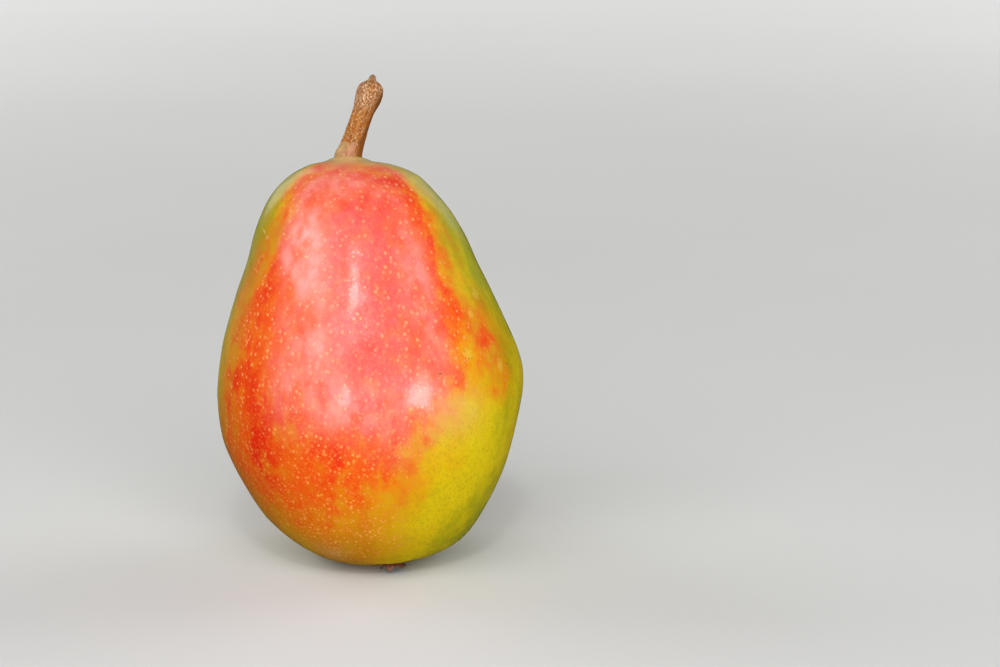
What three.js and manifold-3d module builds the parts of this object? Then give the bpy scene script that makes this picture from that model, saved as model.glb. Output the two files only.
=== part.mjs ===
// A medium blushed pear that stands on the small flat spot of its base.
// Millimetres, +Z up, the front towards -Y. The origin is the centre of the flat spot.
// Three pieces: the fruit, the woody stem in the socket at its top, and the dried calyx in the
// shallow basin beside the flat spot. The neck has grown over to the left and leans back.
import * as THREE from "three";
import Module from "manifold-3d";
import { mergeVertices } from "three/addons/utils/BufferGeometryUtils.js";

// ---------------------------------------------------------------- driving dimensions
const FLAT_SPOT = 5.5; // radius
const FRUIT_SIDES = 64;
const RINGS_PER_STRETCH = 3; // rings between two points of the outline
// Half outline of the fruit as [radius, height along the spine], from flat spot to collar.
const FRUIT_OUTLINE = [
  [FLAT_SPOT, 0],
  [8.6, 0.5],
  [12, 1.7],
  [15.2, 3.2],
  [18.8, 5.7],
  [23.8, 11],
  [28, 19],
  [31.1, 28.5],
  [32.2, 37.5],
  [31, 46.5],
  [27.9, 55.5],
  [24.5, 64],
  [21.8, 71.5],
  [18.1, 78],
  [13.4, 82.4],
  [8.6, 84.8],
  [5.2, 85.6],
  [4.2, 86.1],
];
const SOCKET = { radius: 3.2, rim: 86.4, floor: 81.2 }; // heights along the spine
const DEPTH_SHARE = 0.97; // front-to-back size over side-to-side size

const SPINE = {
  straight: 20, // height of the part that doesn't bend
  bent: 66, // length of the part that bends back in an arc
  bend: 0.22, // turn at its end, radians
  sway: 4.8, // how far the top has grown over to the left
  swayPower: 3.4, // how late the sway sets in
};

// Low swellings and hollows: where they are, how far they reach and how far they stand out.
// A turn of 0 is the right side, 90 the back, 180 the left and -90 the front.
const SWELLS = [
  { name: "right foot", turn: -4, height: 4, wide: 42, tall: 5, out: 1.6 },
  { name: "left foot", turn: 180, height: 3, wide: 42, tall: 5, out: -0.9 },
  { name: "left flank", turn: 180, height: 26, wide: 40, tall: 8, out: 1.05 },
  { name: "left cheek", turn: 184, height: 36, wide: 34, tall: 5, out: 0.2 },
  { name: "left waist", turn: 180, height: 58, wide: 40, tall: 8, out: 0.35 },
  { name: "right shoulder", turn: 2, height: 42, wide: 34, tall: 6.5, out: 0.75 },
  { name: "right flank", turn: 0, height: 27, wide: 34, tall: 7, out: -0.3 },
  { name: "top right", turn: 4, height: 83.5, wide: 34, tall: 3, out: 1.3 },
  { name: "front ridge", turn: -104, height: 48, wide: 9, tall: 22, out: 0.35 },
  { name: "front flute", turn: -88, height: 50, wide: 6, tall: 26, out: -0.3 },
  { name: "back flat", turn: 80, height: 44, wide: 26, tall: 18, out: -0.7 },
];
const LOBES = { count: 5, share: 0.008, start: 20 }; // faint, one for each carpel

// Basin of the calyx: its middle on the plane of the flat spot, its axis' tilt from straight
// down, away from the flat spot, and how far the calyx's seat lies above that plane.
const BASIN = { x: 5, y: -11.2, tilt: 0.2, radius: 4.3, depth: 2.1, lift: 3.05 };

const STEM_SIDES = 20;
const STEM_ROOT = 4.4; // length inside the socket, clear of its floor and walls
// Middle line of the stem, its foot at the origin: to the right, back and up. The root follows
// the socket, which sways with the spine.
const STEM_LINE = [
  [0.7, 0, -STEM_ROOT],
  [0.2, 0, -1.6],
  [0.1, 0, 0.3],
  [0.75, 0.1, 2.6],
  [1.6, 0.25, 5.1],
  [3.35, 0.5, 10.3],
  [4.6, 0.75, 13.9],
  [4.95, 0.85, 15.7],
  [5.2, 0.95, 17.85],
];
// Radius of the stem at shares of its length, from the end of the root to the bud at the tip.
const STEM_OUTLINE = [
  [2.3, 0],
  [2.65, 0.16],
  [2.8, 0.215],
  [2.6, 0.27],
  [2.44, 0.34],
  [2.35, 0.43],
  [2.32, 0.53],
  [2.37, 0.63],
  [2.55, 0.7],
  [2.82, 0.77],
  [2.9, 0.82],
  [2.72, 0.875],
  [2.2, 0.908],
  [1.45, 0.93],
  [0.74, 0.95],
  [0.58, 0.966],
  [0.42, 0.987],
  [0, 1],
];
const STEM_RIDGES = { count: 5, share: 0.05, twist: 4 };

const CUP = { radius: 2.1, height: 0.8, wall: 0.7, sides: 20 };
const SEPAL = { count: 5, length: 1.6, width: 2, thick: 0.6, curl: 0.9 };
const STAMEN = { count: 6, radius: 0.3, length: 0.8, ring: 0.75 };

const COLOURS = {
  fruit: { color: 0xe0703a, roughness: 0.38, metalness: 0 },
  stem: { color: 0xa06a3a, roughness: 0.8, metalness: 0 },
  calyx: { color: 0x5a3424, roughness: 0.9, metalness: 0 },
};

// ---------------------------------------------------------------- geometry helpers
const wasm = await Module();
wasm.setup();

const { degToRad, radToDeg } = THREE.MathUtils;
const bell = (x) => Math.exp(-x * x);
const dish = (x) => (x < 1 ? (1 - x ** 3) ** 2 : 0);

/** A geometry with a single vertex at each place, so that it stays closed when it is moulded. */
function sewn(geometry) {
  geometry.deleteAttribute("normal");
  geometry.deleteAttribute("uv");
  return mergeVertices(geometry);
}

/** Moves every vertex of a geometry by a function that changes its place. */
function moulded(geometry, move) {
  const places = geometry.attributes.position;
  const p = new THREE.Vector3();
  for (let i = 0; i < places.count; i++) {
    move(p.fromBufferAttribute(places, i));
    places.setXYZ(i, p.x, p.y, p.z);
  }
  return geometry;
}

/** A solid of revolution round +Z from [radius, height] points that start and end on the axis. */
function turned(outline, sides) {
  const points = outline.map(([radius, height]) => new THREE.Vector2(radius, height));
  return sewn(new THREE.LatheGeometry(points, sides).rotateX(Math.PI / 2));
}

/** A smooth curve through [x, y] points. */
function curveThrough(outline) {
  const points = outline.map(([x, y]) => new THREE.Vector3(x, y, 0));
  return new THREE.CatmullRomCurve3(points, false, "centripetal");
}

/** Several closed geometries joined into one. */
function joined(geometries) {
  const solids = geometries.map((geometry) => {
    const vertProperties = geometry.attributes.position.array;
    const triVerts = new Uint32Array(geometry.index.array);
    return new wasm.Manifold(new wasm.Mesh({ numProp: 3, vertProperties, triVerts }));
  });
  const { numProp, vertProperties, triVerts } = wasm.Manifold.union(solids).getMesh();
  return new THREE.BufferGeometry()
    .setAttribute("position", new THREE.BufferAttribute(vertProperties, numProp))
    .setIndex(new THREE.BufferAttribute(triVerts, 1));
}

// ---------------------------------------------------------------- fruit
/** Carries a place on the straight fruit to the grown one, whose spine bends and sways. */
function grow(p) {
  const along = Math.max(p.z - SPINE.straight, 0);
  const radius = SPINE.bent / SPINE.bend;
  const angle = along / radius;
  p.x -= SPINE.sway * Math.max(p.z / SOCKET.rim, 0) ** SPINE.swayPower;
  p.z = p.z - along + (radius - p.y) * Math.sin(angle);
  p.y = radius - (radius - p.y) * Math.cos(angle);
  return p;
}

/** How far the surface stands out at a turn in radians and a height. */
function swelling(turn, height) {
  let out = 0;
  for (const swell of SWELLS) {
    const away = turn - degToRad(swell.turn);
    const degrees = radToDeg(Math.atan2(Math.sin(away), Math.cos(away)));
    out += swell.out * bell(degrees / swell.wide) * bell((height - swell.height) / swell.tall);
  }
  return out * (1 - bell(height / 1.5));
}

/** Direction in which the calyx looks out of its basin. */
function basinAxis() {
  const out = Math.hypot(BASIN.x, BASIN.y) / Math.sin(BASIN.tilt);
  return new THREE.Vector3(BASIN.x / out, BASIN.y / out, -Math.cos(BASIN.tilt));
}

/** Presses the basin into the base. */
function pressBasin(p) {
  const axis = basinAxis();
  const from = new THREE.Vector3(p.x - BASIN.x, p.y - BASIN.y, p.z);
  const away = from.addScaledVector(axis, -from.dot(axis)).length();
  if (p.z < BASIN.radius) p.addScaledVector(axis, -BASIN.depth * dish(away / BASIN.radius));
}

/** The fruit: a turned body with the socket, moulded so that no side is like another. */
function fruitShape() {
  const rings = RINGS_PER_STRETCH * (FRUIT_OUTLINE.length - 1);
  const skin = curveThrough(FRUIT_OUTLINE).getPoints(rings);
  const outline = [
    [0, 0],
    ...skin.map(({ x, y }) => [x, y]),
    [SOCKET.radius + 0.3, SOCKET.rim],
    [SOCKET.radius, SOCKET.rim - 0.3],
    [SOCKET.radius, (SOCKET.rim + SOCKET.floor) / 2],
    [SOCKET.radius, SOCKET.floor],
    [0, SOCKET.floor],
  ];
  return moulded(turned(outline, FRUIT_SIDES), (p) => {
    const radius = Math.hypot(p.x, p.y);
    if (radius > FLAT_SPOT) {
      const turn = Math.atan2(p.y, p.x);
      const lobes = LOBES.share * Math.cos(LOBES.count * (turn - degToRad(LOBES.start)));
      const scale = 1 + lobes + swelling(turn, p.z) / radius;
      p.x *= scale;
      p.y *= scale;
    }
    p.y *= THREE.MathUtils.lerp(DEPTH_SHARE, 1, bell(p.z / 9));
    pressBasin(p);
    grow(p);
  });
}

// ---------------------------------------------------------------- stem
/** The stem, its foot at the origin: a ridged rod along a curve, with a bud at the tip. */
function stemShape() {
  const line = new THREE.CatmullRomCurve3(STEM_LINE.map((p) => new THREE.Vector3(...p)));
  const rings = RINGS_PER_STRETCH * (STEM_OUTLINE.length - 1);
  const skin = curveThrough(STEM_OUTLINE).getPoints(rings);
  const outline = [[0, 0], ...skin.map(({ x, y }) => [x, y])];
  return moulded(turned(outline, STEM_SIDES), (p) => {
    const share = THREE.MathUtils.clamp(p.z, 0, 1);
    const along = line.getTangentAt(share);
    const right = new THREE.Vector3(1, 0, 0).addScaledVector(along, -along.x).normalize();
    const back = along.clone().cross(right);
    const turn = Math.atan2(p.y, p.x) * STEM_RIDGES.count + STEM_RIDGES.twist * share;
    const ridge = 1 + STEM_RIDGES.share * Math.cos(turn) * Math.min(4 * share, 1);
    const [x, y] = [p.x * ridge, p.y * ridge];
    p.copy(line.getPointAt(share)).addScaledVector(right, x).addScaledVector(back, y);
  });
}

// ---------------------------------------------------------------- calyx
/** One dried sepal: a thin blade that narrows to a point and curls outwards from the cup. */
function sepalShape(index) {
  const blade = sewn(new THREE.BoxGeometry(SEPAL.width, 1, SEPAL.thick, 4, 8, 1));
  const length = SEPAL.length * (1 + 0.12 * Math.sin(index * 2.4));
  const curl = SEPAL.curl * (1 + 0.2 * Math.cos(index * 1.7));
  const radius = length / curl;
  return moulded(blade, (p) => {
    const share = p.y + 0.5;
    const angle = 0.15 + curl * share;
    const taper = (1 - 0.8 * share ** 2) * (1 + 0.35 * Math.sin(Math.PI * share));
    const trough = (p.x / SEPAL.width) ** 2;
    const out = CUP.radius - CUP.wall / 2 + radius * (1 - Math.cos(angle));
    const up = CUP.height * 0.4 + radius * Math.sin(angle) + trough;
    p.set(out + p.z * Math.cos(angle), p.x * taper, up - p.z * Math.sin(angle));
  }).rotateZ((2 * Math.PI * index) / SEPAL.count + 0.3);
}

/** One stub of a withered stamen inside the cup. */
function stamenShape(index) {
  const { radius, length, ring, count } = STAMEN;
  return sewn(new THREE.CylinderGeometry(radius * 0.7, radius, length, 6))
    .rotateX(Math.PI / 2)
    .translate(ring, 0, length / 2 + CUP.height * 0.3)
    .rotateZ((2 * Math.PI * index) / count);
}

/** The calyx, its seat at the origin and opening towards +Z. */
function calyxShape() {
  const inner = CUP.radius - CUP.wall;
  const cup = [
    [0, 0],
    [CUP.radius * 0.6, 0.1],
    [CUP.radius, CUP.height * 0.6],
    [CUP.radius * 0.9, CUP.height],
    [inner, CUP.height],
    [inner * 0.7, CUP.height * 0.5],
    [0, CUP.height * 0.4],
  ];
  return joined([
    turned(cup, CUP.sides),
    ...Array.from({ length: SEPAL.count }, (_, index) => sepalShape(index)),
    ...Array.from({ length: STAMEN.count }, (_, index) => stamenShape(index)),
  ]);
}

// ---------------------------------------------------------------- the pear
/** A named mesh in its own colour. */
function piece(name, geometry) {
  const mesh = new THREE.Mesh(geometry, new THREE.MeshStandardMaterial(COLOURS[name]));
  mesh.name = name;
  return mesh;
}

const fruit = piece("fruit", fruitShape());

const stem = piece("stem", stemShape());
stem.position.copy(grow(new THREE.Vector3(0, 0, SOCKET.rim)));
stem.rotation.x = -SPINE.bend;

const calyx = piece("calyx", calyxShape());
const seat = new THREE.Vector3(BASIN.x, BASIN.y, 0);
calyx.position.copy(seat.addScaledVector(basinAxis(), -BASIN.lift));
calyx.quaternion.setFromUnitVectors(new THREE.Vector3(0, 0, 1), basinAxis());

const pear = new THREE.Group();
pear.add(fruit, stem, calyx);

export default pear;
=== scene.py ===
"""A ripe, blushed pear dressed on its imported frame: skin, woody stem, dried calyx, plain studio."""

import logging
import math
from dataclasses import dataclass, field, replace
from enum import Enum

import bpy
import numpy as np
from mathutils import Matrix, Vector, noise


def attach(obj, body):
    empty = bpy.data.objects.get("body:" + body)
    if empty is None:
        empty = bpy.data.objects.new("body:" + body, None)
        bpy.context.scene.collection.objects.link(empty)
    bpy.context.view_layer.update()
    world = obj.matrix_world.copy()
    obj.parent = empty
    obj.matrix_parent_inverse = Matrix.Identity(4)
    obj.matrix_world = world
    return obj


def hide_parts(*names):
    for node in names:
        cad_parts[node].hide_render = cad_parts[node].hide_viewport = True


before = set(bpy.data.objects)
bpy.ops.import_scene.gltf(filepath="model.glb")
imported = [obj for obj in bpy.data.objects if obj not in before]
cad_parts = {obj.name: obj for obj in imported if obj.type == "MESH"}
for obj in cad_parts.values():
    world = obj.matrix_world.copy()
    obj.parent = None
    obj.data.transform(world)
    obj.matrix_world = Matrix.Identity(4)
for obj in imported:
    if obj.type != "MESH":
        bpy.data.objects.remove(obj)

MM = 0.001
BODY = "root"
SEW_REACH = 1e-6  # metres between points that are one
QUAD_BEND = 0.7  # radians by which two triangles of a quad may differ
FIT_ROUNDS = 5  # times that a smoothed form is drawn back to its points
FIT_SHARE = 0.9  # share of the way that each time covers
GOLDEN_TURN = 2.39996  # radians between neighbours that fill a disc evenly
LEAST_RADIUS = 1e-6  # keeps divisors off 0
LOG = logging.getLogger("pear")

Colour = tuple[float, float, float, float]
Point = tuple[float, float, float]
Span = tuple[float, float]
Line = tuple[Span, ...]
Socket = bpy.types.NodeSocket
Input = Socket | float | Colour | Point


class Field(Enum):
    """Values that are kept at the points of a mesh and read by its material."""

    BLUSH = "blush"
    DEPTH = "depth"
    CRIMSON = "crimson"
    GREEN = "green"
    OCHRE = "ochre"
    # partly a waxy coating, partly painted sheen and painted highlights
    BLOOM = "bloom_and_sheen"
    # painted sheen: pale colour standing for reflected light at the rims and beside highlights
    HAZE = "painted_sheen"
    COLLAR = "collar"
    RUSSET = "russet"
    DOT_PITCH = "dot_pitch"
    DOT_PLACE = "dot_place"
    DOTTED = "dotted"
    PALE = "pale"
    KNOB = "knob"
    # painted shade on the stem's right side
    DARK = "dark"
    GRAIN = "grain"


class Mark(Enum):
    """Kinds of small blemish on the skin."""

    RUSSET = "russet"
    # pale scratches: partly real marks, partly painted glints of light
    SCRATCH = "scratch_and_glint"
    FADED = "faded"


# ---------------------------------------------------------------- number helpers
def smooth(value: np.ndarray, low: float, high: float) -> np.ndarray:
    """Rises softly from 0 at low to 1 at high; falls where high is below low."""
    share = np.clip((value - low) / (high - low), 0, 1)
    return share * share * (3 - 2 * share)


def read_off(line: Line, height: np.ndarray) -> np.ndarray:
    """The value of a line of heights and values at each height."""
    return np.interp(height, *zip(*line))


@dataclass(frozen=True)
class Clouds:
    """Soft noise, the same in each run.

    It has the width of a lump in millimetres, the count of finer layers, a seed, a swing, and a
    squeeze that heights are multiplied by, so that lumps grow long upright.
    """

    size: float
    layers: int
    seed: float
    swing: float = 1
    squeeze: float = 1

    def at(self, points: np.ndarray) -> np.ndarray:
        """One value for each place in millimetres, from about -swing to swing.

        Args:
            points: Places in millimetres, one row each.

        Returns:
            One value for each place.
        """
        shift = Vector((self.seed * 17.3, self.seed * -9.1, self.seed * 5.7))
        near = (Vector(point) / self.size + shift for point in points * (1, 1, self.squeeze))
        return self.swing * np.array([noise.fractal(p, 1.0, 2.0, self.layers) for p in near])


@dataclass(frozen=True)
class Patch:
    """A soft patch on the skin: its middle in degrees and millimetres, its reach and strength."""

    turn: float
    height: float
    wide: float
    tall: float
    amount: float

    def at(self, turn: np.ndarray, height: np.ndarray) -> np.ndarray:
        """How strong the patch is at turns in degrees and heights in millimetres."""
        away = (turn - self.turn + 180) % 360 - 180
        return self.amount * np.exp(
            -((away / self.wide) ** 2) - ((height - self.height) / self.tall) ** 2
        )


Patches = tuple[Patch, ...]


def patches(*rows: tuple[float, ...]) -> Patches:
    """Patches from rows of turn, height, wide, tall and amount."""
    return tuple(Patch(*row) for row in rows)


def patched(turn: np.ndarray, height: np.ndarray, several: Patches) -> np.ndarray:
    """The sum of several patches."""
    return sum((patch.at(turn, height) for patch in several), np.zeros(len(turn)))


# ---------------------------------------------------------------- mesh helpers
def places(mesh: bpy.types.Mesh) -> np.ndarray:
    """The points of a mesh in millimetres, one row each.

    Args:
        mesh: The mesh.

    Returns:
        One row for each point.
    """
    flat = np.zeros(len(mesh.vertices) * 3, np.float32)
    mesh.vertices.foreach_get("co", flat)
    return flat.reshape(-1, 3).astype(float) / MM


def normals(mesh: bpy.types.Mesh) -> np.ndarray:
    """The outward direction at each point of a mesh, one row each.

    Args:
        mesh: The mesh.

    Returns:
        One row for each point.
    """
    flat = np.zeros(len(mesh.vertices) * 3, np.float32)
    mesh.vertex_normals.foreach_get("vector", flat)
    return flat.reshape(-1, 3).astype(float)


def place(mesh: bpy.types.Mesh, points: np.ndarray) -> None:
    """Puts the points of a mesh at places in millimetres."""
    mesh.vertices.foreach_set("co", (points * MM).astype(np.float32).ravel())
    mesh.update()


def keep(mesh: bpy.types.Mesh, name: Field, values: np.ndarray) -> None:
    """Keeps a number or a vector at each point of a mesh for its material.

    Args:
        mesh: The mesh.
        name: The field.
        values: One number or one row for each point.
    """
    many = values.ndim == 2
    attribute = mesh.attributes.new(name.value, "FLOAT_VECTOR" if many else "FLOAT", "POINT")
    attribute.data.foreach_set("vector" if many else "value", values.astype(np.float32).ravel())


def keep_share(mesh: bpy.types.Mesh, name: Field, values: np.ndarray, most: float = 1) -> None:
    """Keeps a number from 0 to the most at each point of a mesh."""
    keep(mesh, name, np.clip(values, 0, most))


def deselect() -> None:
    """Leaves nothing selected."""
    bpy.ops.object.select_all(action="DESELECT")


def select_only(piece: bpy.types.Object) -> None:
    """Makes one object the selected and active one.

    Args:
        piece: The object.
    """
    deselect()
    piece.select_set(True)
    bpy.context.view_layer.objects.active = piece


def crumpled(piece: bpy.types.Object, depth: np.ndarray) -> None:
    """Moves each point of a piece outwards by a depth in millimetres."""
    place(piece.data, places(piece.data) + normals(piece.data) * depth[:, None])


def copy_of_node(node: str, name: str, levels: int) -> bpy.types.Object:
    """Copies a solid of the frame, sews its loose triangles into quads and subdivides them.

    Args:
        node: Name of the solid in the frame.
        name: Name of the new piece.
        levels: How many times each quad is split.

    Returns:
        The new piece, at the origin, with smooth faces.
    """
    piece = bpy.data.objects.new(name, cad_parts[node].data.copy())
    piece.data.name = name
    piece.data.materials.clear()
    bpy.context.scene.collection.objects.link(piece)
    select_only(piece)
    bpy.ops.object.mode_set(mode="EDIT")
    bpy.ops.mesh.select_all(action="SELECT")
    bpy.ops.mesh.remove_doubles(threshold=SEW_REACH)
    bpy.ops.mesh.customdata_custom_splitnormals_clear()
    bpy.ops.mesh.tris_convert_to_quads(face_threshold=QUAD_BEND, shape_threshold=QUAD_BEND)
    bpy.ops.object.mode_set(mode="OBJECT")
    subdivided(piece, levels)
    return piece


def subdivided(piece: bpy.types.Object, levels: int) -> None:
    """Splits each face of a piece and smooths its form; the points it had stay in their places.

    Args:
        piece: The piece.
        levels: How many times each face is split.
    """
    select_only(piece)
    aim = places(piece.data)
    split = piece.modifiers.new("split", "SUBSURF")
    split.levels = split.render_levels = levels
    for _ in range(FIT_ROUNDS):
        smoothed = piece.evaluated_get(bpy.context.evaluated_depsgraph_get()).data
        place(piece.data, places(piece.data) + FIT_SHARE * (aim - places(smoothed)[: len(aim)]))
    bpy.ops.object.modifier_apply(modifier=split.name)
    bpy.ops.object.shade_smooth()


def joined(parts: list[bpy.types.Object], name: str) -> bpy.types.Object:
    """Several meshes joined into one piece with a name.

    Args:
        parts: The meshes; the first one takes in the others.
        name: The name of the piece.

    Returns:
        The joined piece.
    """
    deselect()
    for part in parts:
        part.select_set(True)
    bpy.context.view_layer.objects.active = parts[0]
    bpy.ops.object.join()
    parts[0].name = parts[0].data.name = name
    return parts[0]


def finish_piece(piece: bpy.types.Object, node: str, look: bpy.types.Material) -> None:
    """Dresses a piece, lets it ride on the body and stand for its solid, and reports it.

    Args:
        piece: The piece.
        node: The solid that the piece stands for.
        look: Its material.
    """
    piece.data.materials.clear()
    piece.data.materials.append(look)
    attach(piece, BODY)
    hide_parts(node)
    LOG.info("%s: %d faces", piece.name, len(piece.data.polygons))


# ---------------------------------------------------------------- material helper
@dataclass
class Graph:
    """A new material and short calls that add nodes to it and return their outputs."""

    name: str
    material: bpy.types.Material = field(init=False)

    def __post_init__(self) -> None:
        """Makes the material with an empty tree."""
        self.material = bpy.data.materials.new(self.name)
        self.material.use_nodes = True
        self.material.node_tree.nodes.clear()

    def add(self, kind: str, **settings: object) -> bpy.types.Node:
        """Adds a node of a kind and sets its options.

        Args:
            kind: The type of the node.
            settings: Its options by name.

        Returns:
            The new node.
        """
        node = self.material.node_tree.nodes.new(kind)
        for name, value in settings.items():
            setattr(node, name, value)
        return node

    def feed(self, socket: Socket, value: Input) -> None:
        """Links an input to another node's output, or sets its own value.

        Args:
            socket: The input.
            value: An output to link, or a value to set.
        """
        if isinstance(value, bpy.types.NodeSocket):
            self.material.node_tree.links.new(value, socket)
        else:
            socket.default_value = value

    def place(self) -> Socket:
        """Places on the object in metres."""
        return self.add("ShaderNodeTexCoord").outputs["Object"]

    def number(self, name: Field) -> Socket:
        """A number that the mesh keeps."""
        return self.add("ShaderNodeAttribute", attribute_name=name.value).outputs["Fac"]

    def vector(self, name: Field) -> Socket:
        """A vector that the mesh keeps."""
        return self.add("ShaderNodeAttribute", attribute_name=name.value).outputs["Vector"]

    def mapped(
        self, vector: Input, move: Point = (0, 0, 0), turn: Point = (0, 0, 0), scale: Point = (1, 1, 1)
    ) -> Socket:
        """Places scaled, turned and moved.

        Args:
            vector: Places.
            move: How far they move.
            turn: How far they turn, in radians.
            scale: What they are multiplied by.

        Returns:
            The new places.
        """
        node = self.add("ShaderNodeMapping")
        self.feed(node.inputs["Vector"], vector)
        self.feed(node.inputs["Location"], move)
        self.feed(node.inputs["Rotation"], turn)
        self.feed(node.inputs["Scale"], scale)
        return node.outputs[0]

    def noise(self, vector: Input, scale: float, detail: float = 2, rough: float = 0.5) -> Socket:
        """Soft noise from 0 to 1 round 0.5.

        Args:
            vector: Places.
            scale: How many lumps there are in a unit of length.
            detail: How many finer layers it has.
            rough: How strong the finer layers are.

        Returns:
            The noise.
        """
        node = self.add("ShaderNodeTexNoise")
        self.feed(node.inputs["Vector"], vector)
        self.feed(node.inputs["Scale"], scale)
        self.feed(node.inputs["Detail"], detail)
        self.feed(node.inputs["Roughness"], rough)
        return node.outputs[0]

    def mottle(self, vector: Input, size: float, detail: float = 2, rough: float = 0.5) -> Socket:
        """Noise on places in metres, with lumps of a size in millimetres."""
        return self.noise(vector, 1 / (size * MM), detail, rough)

    def cells(self, vector: Input, scale: float) -> bpy.types.Node:
        """A node with the distance to scattered points and a colour for each.

        Args:
            vector: Places.
            scale: How many points there are in a unit of length.

        Returns:
            The node.
        """
        node = self.add("ShaderNodeTexVoronoi")
        self.feed(node.inputs["Vector"], vector)
        self.feed(node.inputs["Scale"], scale)
        return node

    def sum(self, kind: str, a: Input, b: Input, c: Input = 0.0) -> Socket:
        """The result of a sum on two or three numbers.

        Args:
            kind: What is done to the numbers.
            a: The first.
            b: The second.
            c: The third, where the sum takes one.

        Returns:
            The result.
        """
        node = self.add("ShaderNodeMath", operation=kind)
        for socket, value in zip(node.inputs, (a, b, c)):
            self.feed(socket, value)
        return node.outputs[0]

    def plus(self, a: Input, b: Input) -> Socket:
        """Two numbers added."""
        return self.sum("ADD", a, b)

    def times(self, a: Input, b: Input) -> Socket:
        """Two numbers multiplied."""
        return self.sum("MULTIPLY", a, b)

    def larger(self, a: Input, b: Input) -> Socket:
        """The larger of two numbers."""
        return self.sum("MAXIMUM", a, b)

    def ramp(
        self, value: Input, low: Input, high: Input, start: Input = 0.0, end: Input = 1.0
    ) -> Socket:
        """A soft rise from start to end while the value goes from low to high.

        Args:
            value: The value.
            low: Where the rise starts.
            high: Where it ends.
            start: What low becomes.
            end: What high becomes.

        Returns:
            The value between start and end.
        """
        node = self.add("ShaderNodeMapRange", interpolation_type="SMOOTHSTEP")
        for socket, number in zip(node.inputs, (value, low, high, start, end)):
            self.feed(socket, number)
        return node.outputs[0]

    def spread(self, value: Input, start: Input, end: Input) -> Socket:
        """Noise, most of which lies from 0.3 to 0.7, spread from start to end."""
        return self.ramp(value, 0.3, 0.7, start, end)

    def mix(self, share: Input, a: Input, b: Input, blend: str = "MIX") -> Socket:
        """Two colours mixed by a share.

        Args:
            share: How much of the second colour there is.
            a: The first.
            b: The second.
            blend: How the second colour acts on the first.

        Returns:
            The mixed colour.
        """
        node = self.add("ShaderNodeMix", data_type="RGBA", blend_type=blend, clamp_factor=True)
        self.feed(node.inputs[0], share)
        self.feed(node.inputs[6], a)
        self.feed(node.inputs[7], b)
        return node.outputs[2]

    def split(self, colour: Socket) -> tuple[Socket, Socket, Socket]:
        """The three channels of a colour.

        Args:
            colour: The colour.

        Returns:
            Red, green and blue.
        """
        node = self.add("ShaderNodeSeparateColor")
        self.feed(node.inputs[0], colour)
        return node.outputs[0], node.outputs[1], node.outputs[2]

    def length(self, vector: Input) -> Socket:
        """The length of a vector.

        Args:
            vector: Places.

        Returns:
            The length.
        """
        node = self.add("ShaderNodeVectorMath", operation="LENGTH")
        self.feed(node.inputs[0], vector)
        return node.outputs["Value"]

    def bump(self, height: Input, depth: float, under: Input | None = None) -> Socket:
        """A normal bent by a height from 0 to 1 that stands for a depth in millimetres.

        Args:
            height: The height.
            depth: The depth in millimetres.
            under: A normal that is bent further.

        Returns:
            The bent normal.
        """
        node = self.add("ShaderNodeBump")
        self.feed(node.inputs["Height"], height)
        self.feed(node.inputs["Distance"], depth * MM)
        self.feed(node.inputs["Strength"], 1.0)
        if under is not None:
            self.feed(node.inputs["Normal"], under)
        return node.outputs[0]

    def surface(self, **inputs: Input) -> bpy.types.Material:
        """Ends the tree with a surface whose inputs are given by name.

        Args:
            inputs: Values of the inputs, with _ for a space in a name.

        Returns:
            The finished material.
        """
        shader = self.add("ShaderNodeBsdfPrincipled")
        for name, value in inputs.items():
            self.feed(shader.inputs[name.replace("_", " ")], value)
        out = self.add("ShaderNodeOutputMaterial")
        self.feed(out.inputs["Surface"], shader.outputs[0])
        return self.material


# ---------------------------------------------------------------- finishes
@dataclass(frozen=True)
class Blemish:
    """A small mark on the skin: its kind, middle, size in millimetres and tilt in degrees."""

    kind: Mark
    turn: float
    height: float
    length: float
    width: float
    tilt: float


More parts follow.
